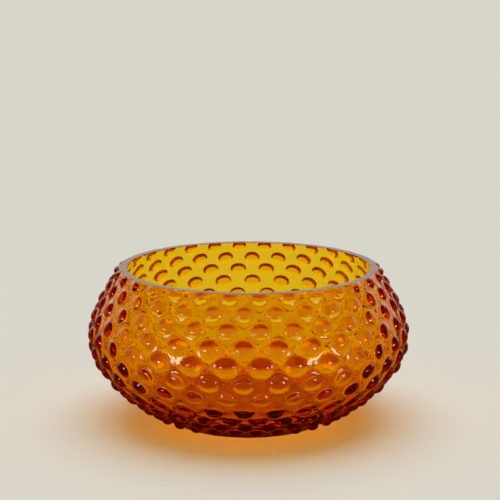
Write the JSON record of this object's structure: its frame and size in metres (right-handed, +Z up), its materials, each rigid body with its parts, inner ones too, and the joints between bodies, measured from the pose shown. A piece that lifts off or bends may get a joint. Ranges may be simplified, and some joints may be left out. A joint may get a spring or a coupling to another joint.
{
  "type": "art glass bowl",
  "caption": "Squat round amber glass bowl with an inward-rounded shoulder, flat ground rim and base, and staggered rings of round hobs all over the outside.",
  "frame": {"origin": "middle of the flat base, on the surface that the bowl stands on", "axes": "+Z up along the bowl's axis; -Y is the front that the reference view looks at"},
  "size_m": [0.2286, 0.228, 0.11],
  "materials": {
    "amber_glass": "clear amber through the whole thickness, fire polished, with the rim and base ground and polished flat"
  },
  "bodies": {
    "root": {"glass_bowl": "amber_glass"}
  },
  "joints": []
}
